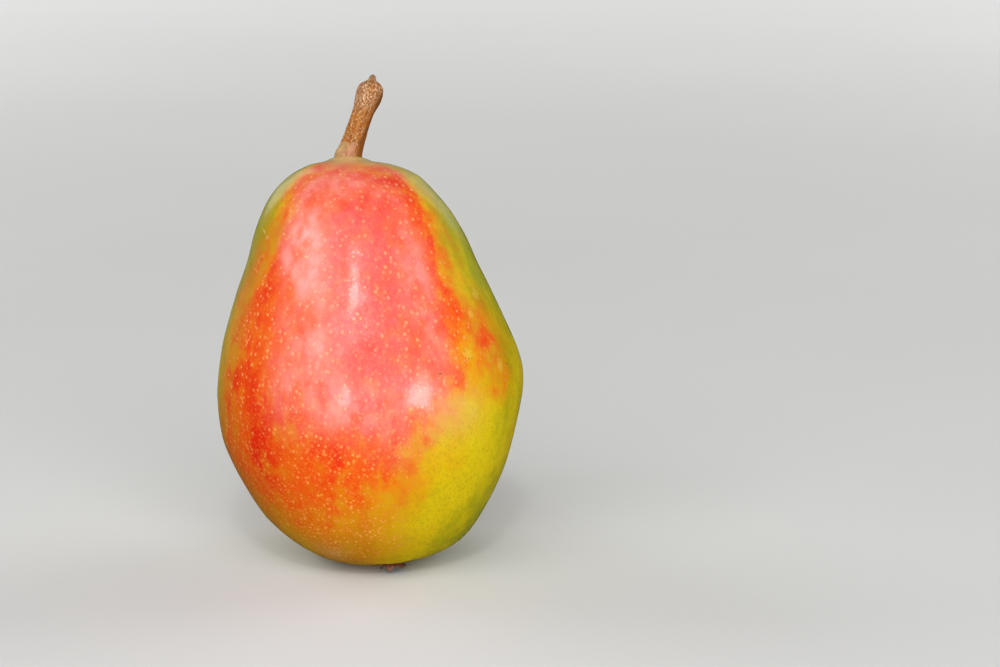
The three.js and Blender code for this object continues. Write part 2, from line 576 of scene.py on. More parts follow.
@dataclass(frozen=True)
class SkinFinish:
    """Waxy pear skin: yellow to olive ground, cloudy red blush, pale dots, fine grain, a pale pink veil
    that is partly a waxy coating and partly painted sheen, and pale painted sheen at the rims.

    Sizes, depths and radii are in millimetres. The swings say how far noise moves a value.
    """

    yellow: Colour = (0.56, 0.42, 0.001, 1)
    olive: Colour = (0.27, 0.28, 0.002, 1)
    ochre: Colour = (0.38, 0.16, 0.001, 1)
    grey: Colour = (0.55, 0.55, 0.45, 1)
    orange_red: Colour = (0.60, 0.062, 0.001, 1)
    crimson_red: Colour = (0.58, 0.036, 0.024, 1)
    deep_red: Colour = (0.56, 0.016, 0.001, 1)
    # pale pink: partly the skin's waxy coating, partly painted sheen and painted highlights
    bloom_and_sheen: Colour = (0.66, 0.26, 0.23, 1)
    # painted sheen: pale colour painted where the rims and highlight edges would reflect light
    painted_sheen: Colour = (0.50, 0.40, 0.20, 1)
    collar: Colour = (0.42, 0.34, 0.11, 1)
    dot: Colour = (0.66, 0.30, 0.11, 1)
    low_dot: Colour = (0.70, 0.30, 0.045, 1)
    halo: Colour = (0.60, 0.17, 0.025, 1)
    dull_dot: Colour = (0.17, 0.14, 0.004, 1)
    russet: Colour = (0.17, 0.085, 0.01, 1)
    # pale scratches: partly real marks, partly painted glints of light
    scratch_and_glint: Colour = (0.62, 0.45, 0.18, 1)
    faded: Colour = (0.55, 0.39, 0.05, 1)
    sheen: Colour = (1, 0.88, 0.5, 1)
    streak: float = 0.65
    mottle_size: float = 3
    green_swing: float = 0.21
    speck_size: float = 0.5
    speck_share: float = 0.12
    tint_size: float = 2.6
    cloud_size: float = 3.2
    depth_swing: float = 0.3
    grain_size: float = 0.7
    grain_swing: float = 0.09
    dot_radius: float = 0.55
    dot_depth: float = 0.012
    fleck_radius: float = 0.26
    fleck_crowd: float = 1.7
    crowding: Span = (0.95, 1.22)
    bloom_and_sheen_size: float = 2.4
    fine_size: float = 1.1
    fine_share: float = 0.12
    mark_reach: float = 2
    mark_swing: float = 0.35
    wax_size: float = 1.6
    peel_size: float = 1.1
    peel_depth: float = 0.013
    pore_size: float = 0.28
    pore_depth: float = 0.006
    roughness: float = 0.44
    coat_roughness: float = 0.22

    def ground(self, graph: Graph, streaks: Socket) -> Socket:
        """The colour under the blush.

        Args:
            graph: The material being made.
            streaks: Places on the fruit, drawn out upright.

        Returns:
            The colour.
        """
        mottle = graph.mottle(streaks, self.mottle_size, 3, 0.6)
        swing = graph.spread(mottle, -self.green_swing, self.green_swing)
        green = graph.ramp(graph.plus(graph.number(Field.GREEN), swing), 0, 1)
        ground = graph.mix(green, self.yellow, self.olive)
        ground = graph.mix(graph.number(Field.OCHRE), ground, self.ochre)
        specks = graph.ramp(graph.mottle(streaks, self.speck_size), 0.35, 0.65)
        return graph.mix(graph.times(specks, self.speck_share), ground, self.grey, "MULTIPLY")

    def red(self, graph: Graph, streaks: Socket) -> Socket:
        """The colour of the blush.

        Args:
            graph: The material being made.
            streaks: Places on the fruit, drawn out upright.

        Returns:
            The colour.
        """
        tint = graph.spread(graph.mottle(streaks, self.tint_size, 3), 0.45, 1.5)
        crimson = graph.ramp(graph.times(graph.number(Field.CRIMSON), tint), 0, 1)
        hue = graph.mix(crimson, self.orange_red, self.crimson_red)
        lumps = graph.mottle(streaks, self.cloud_size, 3)
        swing = graph.spread(lumps, -self.depth_swing, self.depth_swing)
        depth = graph.ramp(graph.plus(graph.number(Field.DEPTH), swing), 0.05, 1.0)
        return graph.mix(depth, hue, self.deep_red)

    def blush(self, graph: Graph, streaks: Socket) -> Socket:
        """How far the red covers the ground, broken up in clouds and fine streaks.

        Args:
            graph: The material being made.
            streaks: Places on the fruit, drawn out upright.

        Returns:
            A share from 0 to 1.
        """
        lumps = graph.spread(graph.mottle(streaks, self.cloud_size, 4, 0.55), 0.76, 1.22)
        grain = graph.mottle(graph.place(), self.grain_size)
        fine = graph.ramp(grain, 0.25, 0.75, -self.grain_swing, self.grain_swing)
        return graph.ramp(graph.times(graph.number(Field.BLUSH), graph.plus(lumps, fine)), 0, 1)

    def dots(self, graph: Graph) -> tuple[Socket, Socket]:
        """Pale dots and fine flecks, each from 0 to 1.

        Args:
            graph: The material being made.

        Returns:
            The dots and the flecks.
        """
        pitch, where = graph.number(Field.DOT_PITCH), graph.vector(Field.DOT_PLACE)
        large = graph.cells(where, 1)
        sizes, strengths, _ = graph.split(large.outputs["Color"])
        reach = graph.ramp(sizes, 0, 1, self.dot_radius * 0.75, self.dot_radius * 1.15)
        away = graph.times(large.outputs["Distance"], pitch)
        near = graph.ramp(away, reach, graph.times(reach, 0.1))
        dots = graph.times(near, graph.ramp(strengths, 0, 1, 0.65, 1.0))
        small = graph.cells(graph.mapped(where, move=(7, 3, 5)), self.fleck_crowd)
        small_pitch = graph.sum("DIVIDE", pitch, self.fleck_crowd)
        away = graph.times(small.outputs["Distance"], small_pitch)
        return dots, graph.ramp(away, self.fleck_radius, self.fleck_radius * 0.2)

    def dotted(
        self, graph: Graph, colour: Socket, blush: Socket, dots: Socket, flecks: Socket
    ) -> Socket:
        """The colour with dots on it, pale on red, dull on green and finer where they crowd.

        Args:
            graph: The material being made.
            colour: The colour.
            blush: How far the red covers the ground.
            dots: Where dots are.
            flecks: Where flecks are.

        Returns:
            The new colour.
        """
        pitch, ochre = graph.number(Field.DOT_PITCH), graph.number(Field.OCHRE)
        pale = graph.mix(graph.ramp(pitch, *self.crowding), self.low_dot, self.dot)
        core = graph.mix(graph.ramp(dots, 0.3, 0.8), self.halo, pale)
        high = graph.ramp(pitch, 0.95, 1.15, 0.0, 0.6)
        warm = graph.larger(blush, graph.sum("SUBTRACT", ochre, high))
        dot_colour = graph.mix(graph.ramp(warm, 0.15, 0.6), self.dull_dot, core)
        strong = graph.ramp(pitch, *self.crowding, 0.46, 0.86)
        fresh = graph.ramp(graph.number(Field.CRIMSON), 0.1, 1.0, 1.0, 0.62)
        strength = graph.ramp(warm, 0.15, 0.8, 0.28, graph.times(strong, fresh))
        strength = graph.times(strength, graph.number(Field.DOTTED))
        colour = graph.mix(graph.times(dots, strength), colour, dot_colour)
        faint = graph.ramp(ochre, 0.2, 0.7, 0.35, 0.55)
        return graph.mix(graph.times(flecks, faint), colour, dot_colour)

    def veiled(self, graph: Graph, colour: Socket, streaks: Socket) -> Socket:
        """The colour under a broken pale pink veil, partly a waxy coating and partly painted sheen and
        highlights, and under pale painted sheen at the rims.

        Args:
            graph: The material being made.
            colour: The colour.
            streaks: Places on the fruit, drawn out upright.

        Returns:
            The new colour.
        """
        # the pale pink veil is partly a waxy coating and partly painted sheen and highlights
        broken = graph.spread(graph.mottle(streaks, self.bloom_and_sheen_size, 4, 0.55), 0.6, 1.35)
        fine = graph.mottle(streaks, self.fine_size, 3, 0.65)
        fine = graph.times(graph.ramp(fine, 0.4, 0.7, 0.0, self.fine_share), graph.number(Field.CRIMSON))
        bloom_and_sheen = graph.plus(graph.times(graph.number(Field.BLOOM), broken), fine)
        colour = graph.mix(bloom_and_sheen, colour, self.bloom_and_sheen)
        # painted sheen: a pale veil where light would reflect at the rims
        return graph.mix(graph.times(graph.number(Field.HAZE), broken), colour, self.painted_sheen)

    def marks(self, graph: Graph, kind: Mark, spots: list[tuple[Blemish, Point]]) -> Socket | float:
        """Small blemishes of one kind, from 0 to 1.

        Args:
            graph: The material being made.
            kind: The kind.
            spots: Blemishes, each with its middle on the skin in metres.

        Returns:
            A share from 0 to 1.
        """
        total: Socket | float = 0.0
        for blemish, middle in spots:
            if blemish.kind is not kind:
                continue
            centred = graph.mapped(graph.place(), move=tuple(-c for c in middle))
            faced = graph.mapped(centred, turn=(0, 0, -math.radians(blemish.turn)))
            turned = graph.mapped(faced, turn=(0, math.radians(blemish.tilt), 0))
            reach = (blemish.width, self.mark_reach, blemish.length)
            away = graph.length(graph.mapped(turned, scale=tuple(1 / (size * MM) for size in reach)))
            ragged = graph.mottle(graph.place(), self.speck_size)
            away = graph.plus(away, graph.spread(ragged, -self.mark_swing, self.mark_swing))
            total = graph.larger(total, graph.ramp(away, 1.0, 0.45))
        return total

    def material(self, spots: list[tuple[Blemish, Point]]) -> bpy.types.Material:
        """The finished material.

        Args:
            spots: Blemishes, each with its middle on the skin in metres.

        Returns:
            The material, which reads the fields that the skin keeps.
        """
        graph = Graph("pear_skin")
        streaks = graph.mapped(graph.place(), scale=(1, 1, self.streak))
        blush = self.blush(graph, streaks)
        colour = graph.mix(blush, self.ground(graph, streaks), self.red(graph, streaks))
        colour = graph.mix(graph.number(Field.COLLAR), colour, self.collar)
        dots, flecks = self.dots(graph)
        colour = self.veiled(graph, self.dotted(graph, colour, blush, dots, flecks), streaks)
        russet = graph.larger(graph.number(Field.RUSSET), self.marks(graph, Mark.RUSSET, spots))
        colour = graph.mix(russet, colour, self.russet)
        # pale scratches, partly real marks and partly painted glints of light
        scratch_and_glint = graph.times(self.marks(graph, Mark.SCRATCH, spots), 0.5)
        colour = graph.mix(scratch_and_glint, colour, self.scratch_and_glint)
        faded = graph.times(self.marks(graph, Mark.FADED, spots), 0.4)
        colour = graph.mix(faded, colour, self.faded)
        wax = graph.mottle(graph.place(), self.wax_size, 3)
        rough = graph.spread(wax, self.roughness - 0.05, self.roughness + 0.06)
        rough = graph.larger(graph.larger(rough, graph.times(dots, 0.5)), graph.times(russet, 0.75))
        peel = graph.bump(graph.mottle(graph.place(), self.peel_size), self.peel_depth)
        pores = graph.bump(graph.mottle(graph.place(), self.pore_size), self.pore_depth, peel)
        relief = graph.bump(dots, self.dot_depth, pores)
        return graph.surface(
            Base_Color=colour,
            Roughness=rough,
            Normal=relief,
            Specular_IOR_Level=0.0,
            Coat_Weight=1.0,
            Coat_IOR=1.4,
            Coat_Roughness=self.coat_roughness,
            Coat_Normal=relief,
            Sheen_Weight=0.055,
            Sheen_Roughness=0.3,
            Sheen_Tint=self.sheen,
        )


@dataclass(frozen=True)
class BarkFinish:
    """Dry stem bark: orange brown, streaked, with pale specks, painted shade down its right side and a
    bare foot.

    Depths are in millimetres.
    """

    brown: Colour = (0.33, 0.118, 0.012, 1)
    rust: Colour = (0.26, 0.066, 0.008, 1)
    light: Colour = (0.57, 0.36, 0.20, 1)
    mauve: Colour = (0.25, 0.12, 0.06, 1)
    # the colour of the pits, and of the painted shade on the stem's right side
    dark: Colour = (0.15, 0.042, 0.001, 1)
    flesh: Colour = (0.31, 0.185, 0.065, 1)
    pink: Colour = (0.37, 0.15, 0.08, 1)
    speck_depth: float = 0.06
    grit_depth: float = 0.12

    def material(self) -> bpy.types.Material:
        """The finished material, which reads the fields that the stem keeps.

        Returns:
            The material.
        """
        graph = Graph("dry_bark")
        grain = graph.vector(Field.GRAIN)
        fibre = graph.noise(graph.mapped(grain, scale=(1, 1, 0.25)), 2.2, 5, 0.7)
        blotch = graph.noise(graph.mapped(grain, scale=(1, 1, 0.5)), 1.1, 3)
        grit = graph.noise(graph.mapped(grain, scale=(1, 1, 0.7)), 3.3, 2, 0.6)
        pits = graph.noise(graph.mapped(grain, move=(5, 3, 1), scale=(1, 1, 0.5)), 2.2, 3, 0.6)
        knob = graph.number(Field.KNOB)
        colour = graph.mix(graph.ramp(blotch, 0.35, 0.62), self.rust, self.brown)
        colour = graph.mix(graph.times(knob, 0.8), colour, self.mauve)
        colour = graph.mix(graph.ramp(pits, 0.38, 0.5, 0.85, 0.0), colour, self.dark)
        colour = graph.mix(graph.ramp(fibre, 0.54, 0.74, 0.0, 0.4), colour, self.light)
        start = graph.ramp(knob, 0, 1, 0.53, 0.475)
        specks = graph.ramp(grit, start, graph.plus(start, 0.12))
        colour = graph.mix(graph.times(specks, 0.85), colour, self.light)
        # painted shade: darkens the stem's right side, away from the key light
        colour = graph.mix(graph.times(graph.number(Field.DARK), 0.9), colour, self.dark)
        side, _, _ = graph.split(grain)
        side = graph.plus(side, graph.ramp(blotch, 0.35, 0.65, -0.5, 0.5))
        bare = graph.mix(graph.ramp(side, -1.5, -0.2), self.flesh, self.pink)
        bare = graph.mix(graph.ramp(fibre, 0.42, 0.66, 0.0, 0.4), bare, self.light)
        colour = graph.mix(graph.number(Field.PALE), colour, bare)
        relief = graph.bump(specks, self.speck_depth, graph.bump(grit, self.grit_depth))
        rough = graph.spread(fibre, 0.75, 0.5)
        return graph.surface(
            Base_Color=colour, Roughness=rough, Normal=relief, Specular_IOR_Level=0.18
        )


@dataclass(frozen=True)
class DriedFinish:
    """Withered tissue of the calyx: dark reddish brown, paler and greyer at the tips.

    Sizes and the depth are in millimetres.
    """

    dark: Colour = (0.03, 0.010, 0.003, 1)
    brown: Colour = (0.15, 0.036, 0.005, 1)
    tip: Colour = (0.19, 0.105, 0.07, 1)
    vein_size: float = 0.45
    vein_depth: float = 0.1
    lump_size: float = 1.3

    def material(self) -> bpy.types.Material:
        """The finished material, which reads the pale field of the calyx.

        Returns:
            The material.
        """
        graph = Graph("withered_tissue")
        veins = graph.mottle(graph.place(), self.vein_size, 4, 0.65)
        lumps = graph.mottle(graph.place(), self.lump_size)
        colour = graph.mix(graph.ramp(veins, 0.35, 0.65), self.dark, self.brown)
        share = graph.times(graph.number(Field.PALE), graph.ramp(veins, 0.3, 0.6, 0.45, 1.0))
        colour = graph.mix(share, colour, self.tip)
        colour = graph.mix(graph.ramp(lumps, 0.45, 0.7, 0.0, 0.4), colour, self.brown)
        relief = graph.bump(veins, self.vein_depth)
        rough = graph.spread(veins, 0.85, 0.6)
        return graph.surface(
            Base_Color=colour, Roughness=rough, Normal=relief, Specular_IOR_Level=0.2
        )


@dataclass(frozen=True)
class FloorFinish:
    """Plain pale floor, lit a little from within far out, so that it stays evenly pale."""

    pale: Colour = (0.56, 0.56, 0.55, 1)
    shade: Colour = (0.54, 0.54, 0.53, 1)
    paper_scale: float = 3
    glow: Span = (0.2, 2.2)
    glow_strength: float = 0.6

    def material(self) -> bpy.types.Material:
        """The finished material.

        Returns:
            The material.
        """
        graph = Graph("studio_floor")
        paper = graph.noise(graph.place(), self.paper_scale)
        colour = graph.mix(graph.spread(paper, 0, 1), self.shade, self.pale)
        glow = graph.ramp(graph.length(graph.place()), *self.glow, 0.0, self.glow_strength)
        return graph.surface(
            Base_Color=colour,
            Roughness=0.9,
            Specular_IOR_Level=0.1,
            Emission_Color=(1, 1, 1, 1),
            Emission_Strength=glow,
        )


# ---------------------------------------------------------------- the pear
@dataclass
class Spine:
    """The middle line on which the fruit grew, as the solid has it. Millimetres."""

    straight: float = 20
    bend_radius: float = 300
    sway: float = 4.8
    sway_power: float = 3.4
    rim: float = 86.4

    def aside(self, height: np.ndarray) -> np.ndarray:
        """How far the middle line has swayed to the left at each height."""
        return self.sway * (np.clip(height, 0, None) / self.rim) ** self.sway_power

    def round_axis(self, points: np.ndarray) -> tuple[np.ndarray, np.ndarray]:
        """Turn in degrees, 0 at the front and + to the right, and distance from the middle line.

        Args:
            points: Places in millimetres, one row each.

        Returns:
            The turns and the distances.
        """
        side = points[:, 0] + self.aside(points[:, 2])
        along = np.clip(points[:, 2] - self.straight, 0, None) / self.bend_radius
        back = points[:, 1] - self.bend_radius * (1 - np.cos(along))
        return np.degrees(np.arctan2(side, -back)), np.hypot(side, back)

    def straightened(self, points: np.ndarray) -> np.ndarray:
        """The places that points would have if the middle line were straight.

        Args:
            points: Places in millimetres, one row each.

        Returns:
            The new places, one row each.
        """
        out = points.copy()
        above = points[:, 2] > self.straight
        depth = self.bend_radius - points[:, 1]
        rise = points[:, 2] - self.straight
        out[above, 1] = (self.bend_radius - np.hypot(depth, rise))[above]
        out[above, 2] = (self.straight + self.bend_radius * np.arctan2(rise, depth))[above]
        out[:, 0] += self.aside(out[:, 2])
        return out


@dataclass
class Skin:
    """The skin of the fruit. Millimetres and degrees.

    A line gives a value by height. A patch has its turn, height, width, tallness and amount.
    """

    spine: Spine = field(default_factory=Spine)
    finish: SkinFinish = field(default_factory=SkinFinish)
    levels: int = 2
    lumps: Clouds = Clouds(11, 3, 1.0)
    lump_depth: float = 0.08
    dimples: Clouds = Clouds(4.5, 2, 13.0, squeeze=0.7)
    dimple_depth: float = 0.06
    flutes: Clouds = Clouds(1, 3, 2.0)
    flute_count: float = 2.6
    flute_length: float = 28
    flute_depth: float = 0.04
    calm_middle: Span = (5, 12)
    calm_base: Span = (0.2, 4)
    room_share: float = 0.8
    rim_reach: Span = (5.2, 3.3)
    rim_rise: Span = (84.6, 85.7)
    rim_pull: float = 0.34
    rim_side: float = 0.1
    brows: Patches = patches((1, 63, 9, 11, 0.42), (5, 67.5, 50, 4.5, 0.22))
    lip: Point = (5.6, -14.6, 0.6)
    lip_reach: Span = (4.2, 1.3)
    basin: Span = (4.9, -10.8)
    basin_reach: Span = (5.5, 2)
    basin_top: Span = (8, 5)
    low: Point = (-32.84, -30.43, 0)
    high: Point = (32.32, 31.42, 86.6)
    outline: Line = (
        (0, 0), (5.5, 0), (12, 1.7), (18.8, 5.7), (23.8, 11), (28, 19), (31.1, 28.5), (32.2, 37.5),
        (31, 46.5), (27.9, 55.5), (24.5, 64), (21.8, 71.5), (18.1, 78), (13.4, 82.4), (8.6, 84.8),
        (4.2, 86.1), (3.2, 86.4), (3.2, 81.2), (0, 81.2),
    )
    outline_steps: int = 12
    least_rise: float = 0.2
    dot_pitches: Line = ((0, 0.9), (15, 0.92), (40, 1.12), (84, 1.28))
    blush_left: Line = (
        (0, -25), (10, -52), (20, -78), (30, -79), (40, -70), (48, -65), (56, -66), (64, -62),
        (72, -54), (80, -46), (87, -50),
    )
    blush_right: Line = (
        (0, 4), (10, 8), (15, 10), (20, 14), (25, 18), (30, 23), (35, 30), (40, 38), (45, 50),
        (50, 47), (55, 45.5), (60, 49.5), (65, 53), (70, 56), (75, 57), (80, 55), (87, 60),
    )
    left_soft: Line = ((0, 30), (40, 16), (60, 15), (87, 16))
    right_soft: Line = ((0, 24), (40, 24), (50, 18), (87, 12))
    wander: Clouds = Clouds(9, 3, 3.0, swing=10, squeeze=0.4)
    fine_wander: Clouds = Clouds(2.6, 2, 4.0, swing=4)
    right_wander: Clouds = Clouds(3.6, 2, 15.0, swing=5)
    right_side: Span = (0, 30)
    cover: float = 0.97
    gaps: Clouds = Clouds(3, 3, 14.0, squeeze=0.6)
    gap_depth: float = 0.17
    gap_top: Span = (50, 34)
    faint_share: float = 0.72
    faint_clouds: Clouds = Clouds(4, 3, 5.0, swing=0.5)
    depth: float = 0.15
    depth_clouds: Clouds = Clouds(5, 3, 6.0, swing=0.3, squeeze=0.4)
    bloom_and_sheen_share: float = 0.85
    bloom_and_sheen_clouds: Clouds = Clouds(5, 3, 11.0, swing=0.6, squeeze=0.4)
    crimson_clouds: Clouds = Clouds(7, 2, 7.0, swing=0.5)
    green: float = 0.1
    green_clouds: Clouds = Clouds(9, 3, 8.0, swing=0.35)
    ochre_clouds: Clouds = Clouds(6, 3, 12.0, swing=0.5, squeeze=0.4)
    collar_clouds: Clouds = Clouds(3.5, 3, 9.0, swing=2)
    collar_rise: Span = (81, 86)
    collar_reach: Span = (15, 4)
    russet_clouds: Clouds = Clouds(1.4, 3, 10.0)
    most_blush: float = 1.3
    most_bloom_and_sheen: float = 0.9
    most_painted_sheen: float = 0.5
    most_ochre: float = 0.9
    most_collar: float = 0.85
    most_russet: float = 0.8
    faint_blush: Patches = patches(
        (150, 34, 22, 14, 0.45), (-135, 30, 20, 16, 0.5), (55, 47, 11, 6, 0.75),
        (59, 55, 11, 8, 0.58), (64, 41, 12, 6, 0.4),
    )
    thin_blush: Patches = patches(
        (4, 63, 34, 22, 0.3), (-12, 5, 50, 8, -0.7), (-8, 16, 22, 8, -0.26),
        (-68, 12, 22, 12, -0.25), (-62, 33, 6, 9, -0.25), (-32, 33, 6, 5, -0.18),
        (-45, 14, 12, 5, -0.2), (30, 40, 7, 5, 0.15), (10, 86, 90, 2.5, -0.3),
    )
    deep_patches: Patches = patches(
        (-60, 46, 7, 7, 0.4), (-46, 36, 7, 9, 0.38), (-45, 24, 7, 7, 0.5), (-46, 52, 5, 6, 0.2),
        (-46, 68, 6, 8, 0.05), (8, 54, 7, 6, 0.35), (0, 48, 5, 5, 0.25), (14, 79, 8, 3, 0.5),
        (33, 83.5, 14, 2.2, 0.7), (-12, 28, 8, 6, 0.1), (44, 72, 7, 8, 0.2),
        (47, 62, 6, 4, 0.12), (63, 50, 6, 3, 0.1),
    )
    # Pale pink patches: partly a waxy coating, partly painted sheen and painted highlights where the
    # lights reflect.
    bloom_and_sheen_patches: Patches = patches(
        (-15, 52, 9, 12, 0.34), (-29, 71.5, 9, 6, 2.0), (-14, 72, 10, 9, 0.2),
        (-25, 62, 11, 7, 0.24), (-27, 48, 11, 7, 0.45), (-11, 40, 10, 5, 0.5),
        (13, 37, 10, 7, 0.36), (28, 64, 9, 11, 0.42), (26, 43, 12, 7, 0.3), (30, 72, 8, 7, 0.3),
        (30, 50, 6, 6, 0.2), (-28, 39, 8, 5, 0.25), (-30, 56, 7, 4, 0.22), (0, 40, 6, 5, 0.25),
        (16, 79, 16, 5, 0.12), (-8, 83, 36, 3, 0.4), (-22, 80, 14, 5, 0.08),
    )
    thin_collar: Patch = Patch(-80, 85, 55, 6, 0.7)
    # Painted sheen: pale patches at the rims and beside a highlight, standing for reflected light.
    painted_sheen_patches: Patches = patches(
        (38, 38, 11, 5, 0.16), (76, 78, 14, 9, 0.1), (-94, 64, 22, 24, 0.42),
        (-24, 6, 10, 2.5, 0.14),
    )
    crimson_patches: Patches = patches((8, 66, 26, 24, 1.0), (0, 45, 18, 12, 0.5))
    green_patches: Patches = patches(
        (78, 70, 24, 20, 0.9), (-76, 77, 30, 18, 1.0), (-84, 50, 12, 12, 0.2),
        (62, 30, 12, 12, 0.35), (60, 73, 9, 9, 0.3), (75, 8, 50, 12, 0.5),
        (180, 60, 60, 30, 0.55), (-140, 74, 30, 20, 0.35), (120, 25, 30, 25, 0.3),
        (45, 28, 16, 18, -0.3),
    )
    ochre_patches: Patches = patches(
        (-12, 6, 34, 12, 0.8), (-70, 22, 30, 16, 0.7), (-62, 58, 12, 18, 0.75),
        (62, 51, 16, 9, 0.65), (62, 81, 12, 5, 0.35), (47, 65, 6, 12, 0.55),
        (-25, 26, 45, 16, 0.6), (-160, 28, 50, 16, 0.35),
    )
    dot_patches: Patches = patches(
        (-4, 22, 20, 12, 0.75), (-12, 8, 50, 8, 0.8), (-70, 50, 10, 22, 1.4),
        (54, 53, 14, 12, -0.45),
    )
    blemishes: tuple[Blemish, ...] = (
        Blemish(Mark.RUSSET, 44, 48.5, 0.3, 0.35, 15),
        Blemish(Mark.RUSSET, 46, 48, 0.15, 0.25, -20),
        Blemish(Mark.RUSSET, 43, 50, 0.2, 0.15, 0),
        Blemish(Mark.RUSSET, 68, 45.5, 0.2, 0.55, -12),
        Blemish(Mark.RUSSET, 62, 44.6, 0.14, 0.3, 20),
        Blemish(Mark.RUSSET, 59, 43.6, 0.2, 0.2, 0),
        Blemish(Mark.RUSSET, 30, 46, 0.2, 0.45, -15),
        # Pale scratches: partly real marks, partly painted glints of light beside highlights.
        Blemish(Mark.SCRATCH, 31.5, 44.6, 0.75, 0.16, -28),
        Blemish(Mark.SCRATCH, -25, 69, 0.22, 0.7, -8),
        Blemish(Mark.SCRATCH, -62, 72.6, 0.3, 1.2, -14),
        Blemish(Mark.SCRATCH, -57, 71.6, 0.6, 0.3, -20),
        Blemish(Mark.FADED, 45, 49, 1.6, 1.2, -15),
        Blemish(Mark.FADED, 62, 45.6, 1.8, 1.3, 0),
        Blemish(Mark.FADED, 62, 60, 1.4, 1.7, 25),
        Blemish(Mark.FADED, 53, 57, 1.2, 1.2, 0),
    )

    def relief(self, piece: bpy.types.Object) -> None:
        """Gives the skin lumps, flutes, brows, the crease at the stem and the calyx's lip.

        Args:
            piece: The piece.
        """
        points, out = places(piece.data), normals(piece.data)
        turn, _ = self.spine.round_axis(points)
        grown = self.spine.straightened(points)
        radius = np.hypot(grown[:, 0], grown[:, 1])
        round_about = grown[:, :2] / np.maximum(radius, LEAST_RADIUS)[:, None] * self.flute_count
        flutes = self.flutes.at(np.column_stack([round_about, grown[:, 2] / self.flute_length]))
        inward = self.lump_depth * (smooth(self.lumps.at(points), -0.9, 0.9) - 0.5)
        inward += self.flute_depth * (smooth(flutes, -0.8, 0.8) - 0.5)
        inward += self.dimple_depth * (smooth(self.dimples.at(points), -0.8, 0.8) - 0.5)
        inward -= patched(turn, points[:, 2], self.brows)
        inward *= smooth(radius, *self.calm_middle) * smooth(points[:, 2], *self.calm_base)
        room = np.minimum(points - self.low, self.high - points).min(axis=1)
        most_out = self.room_share * np.clip(room, 0, None)
        points = points - out * np.maximum(inward, -most_out)[:, None]
        pull = smooth(radius, *self.rim_reach) * smooth(grown[:, 2], *self.rim_rise)
        towards = -grown[:, :2] + (self.rim_side, 0)
        towards /= np.maximum(np.hypot(*towards.T), LEAST_RADIUS)[:, None]
        points[:, :2] += towards * (pull * self.rim_pull)[:, None]
        away = (points[:, :2] - self.lip[:2]) / self.lip_reach
        swell = self.lip[2] * np.exp(-(away**2).sum(axis=1))
        points[:, 2] -= swell * smooth(points[:, 2], *self.basin_top)
        place(piece.data, points)

    def along(self, points: np.ndarray) -> tuple[np.ndarray, np.ndarray]:
        """Place of each point on the outline's line for the dots: height on it and pitch there.

        Args:
            points: Places in millimetres, one row each.

        Returns:
            The heights along the outline and the pitches.
        """
        line = np.array(self.outline, float)
        share = np.linspace(0, len(line) - 1, self.outline_steps * (len(line) - 1) + 1)
        knots = np.arange(len(line))
        radius, height = (np.interp(share, knots, line[:, k]) for k in (0, 1))
        pitch = read_off(self.dot_pitches, height)
        step = np.hypot(np.diff(radius), np.diff(height)) / pitch[1:]
        sideways = np.diff(radius / pitch)
        rise = np.sqrt(np.maximum(step**2 - sideways**2, (self.least_rise * step) ** 2))
        level = np.concatenate([[0], np.cumsum(rise)])
        grown = self.spine.straightened(points)
        here = np.column_stack([np.hypot(grown[:, 0], grown[:, 1]), grown[:, 2]])
        bends = np.column_stack([radius, height])
        nearest = np.empty(len(points))
        best = np.full(len(points), np.inf)
        for index, (start, span) in enumerate(zip(bends, np.diff(bends, axis=0))):
            part = np.clip(((here - start) @ span) / (span @ span), 0, 1)
            away = np.linalg.norm(here - start - part[:, None] * span, axis=1)
            better = away < best
            best[better], nearest[better] = away[better], (index + part)[better]
        steps = np.arange(len(level))
        return np.interp(nearest, steps, level), np.interp(nearest, steps, pitch)

    def covered(self, points: np.ndarray) -> np.ndarray:
        """How far the blush covers the skin, between its two ragged edges and in faint patches.

        Args:
            points: Places in millimetres, one row each.

        Returns:
            One share for each point.
        """
        turn, _ = self.spine.round_axis(points)
        height = points[:, 2]
        left, left_soft = (read_off(line, height) for line in (self.blush_left, self.left_soft))
        right, right_soft = (read_off(line, height) for line in (self.blush_right, self.right_soft))
        wander = self.wander.at(points) + self.fine_wander.at(points)
        inside = np.clip(0.5 + (turn + wander - left) / (2 * left_soft), 0, 1)
        wander += self.right_wander.at(points) * smooth(turn, *self.right_side)
        inside *= np.clip(0.5 + (right - turn + wander) / (2 * right_soft), 0, 1)
        faint = self.faint_share + self.faint_clouds.at(points)
        faint = patched(turn, height, self.faint_blush) * faint
        gaps = smooth(self.gaps.at(points), -0.3, 0.5) * smooth(height, *self.gap_top)
        cover = self.cover + patched(turn, height, self.thin_blush) - self.gap_depth * gaps
        return np.maximum(inside * cover, faint)

